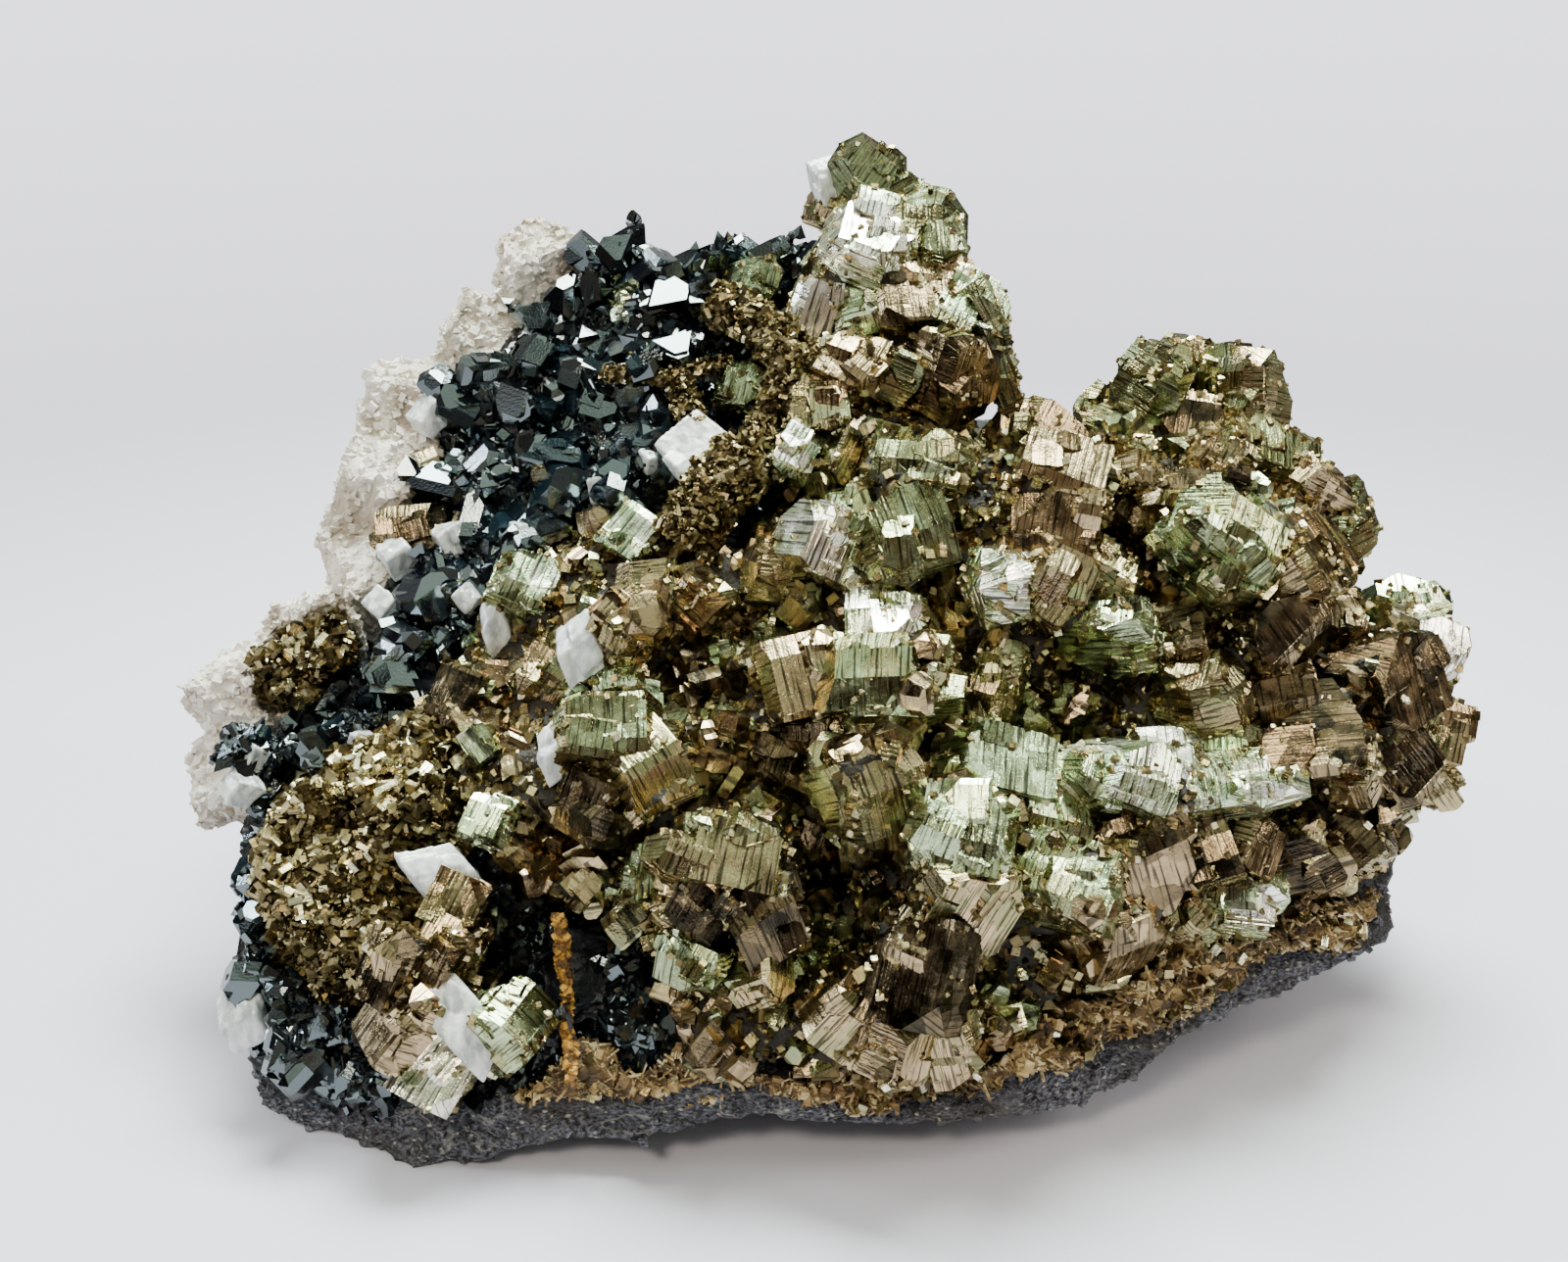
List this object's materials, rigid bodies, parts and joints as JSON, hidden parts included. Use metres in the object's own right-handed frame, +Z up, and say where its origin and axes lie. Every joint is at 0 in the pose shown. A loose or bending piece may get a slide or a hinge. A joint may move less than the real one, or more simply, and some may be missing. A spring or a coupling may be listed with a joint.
{
  "type": "pyrite with sphalerite and calcite specimen",
  "caption": "Natural mineral specimen: brassy striated pyrite crystals over black sphalerite, with white calcite, on a dark matrix slab that rests on its flat underside.",
  "frame": {"origin": "centre of the bounding box in X and Y, at the surface that the specimen rests on", "axes": "+Z up from the resting surface, -Y towards the viewer of the crystal face, +X to the viewer's right, along the specimen's longest side"},
  "size_m": [0.1156, 0.071, 0.0723],
  "materials": {
    "matrix": "dull granular rock",
    "pyrite": "striated metallic crystal faces",
    "druse": "fine-grained metallic druse",
    "sphalerite": "black glossy crystal faces",
    "calcite": "cloudy translucent crystal",
    "palecrust": "dull cream crust",
    "rust": "dull fibrous iron-stained crust"
  },
  "bodies": {
    "root": {"matrix": "matrix", "calcite_blade_lower_left": "calcite", "calcite_blade_left": "calcite", "calcite_grain_centre_left": "calcite", "calcite_plate_upper": "calcite", "calcite_plate_middle": "calcite", "calcite_plate_left": "calcite", "calcite_rim_lower_left": "calcite", "calcite_on_peak": "calcite", "rusty_rod": "rust", "pyrite_lone_crystal": "pyrite", "pyrite_top_pair": "pyrite", "pyrite_left_knob": "druse", "calcite_pale_crust": "palecrust", "pyrite_rods": "druse", "pyrite_branch": "druse", "pyrite_peak": "pyrite", "pyrite_lower_left": "pyrite", "pyrite_left_dome": "druse", "pyrite_mass": "pyrite", "rusty_crust": "rust", "sphalerite_hollow": "sphalerite", "sphalerite_lower_left": "sphalerite", "sphalerite_upper_left": "sphalerite"}
  },
  "joints": []
}
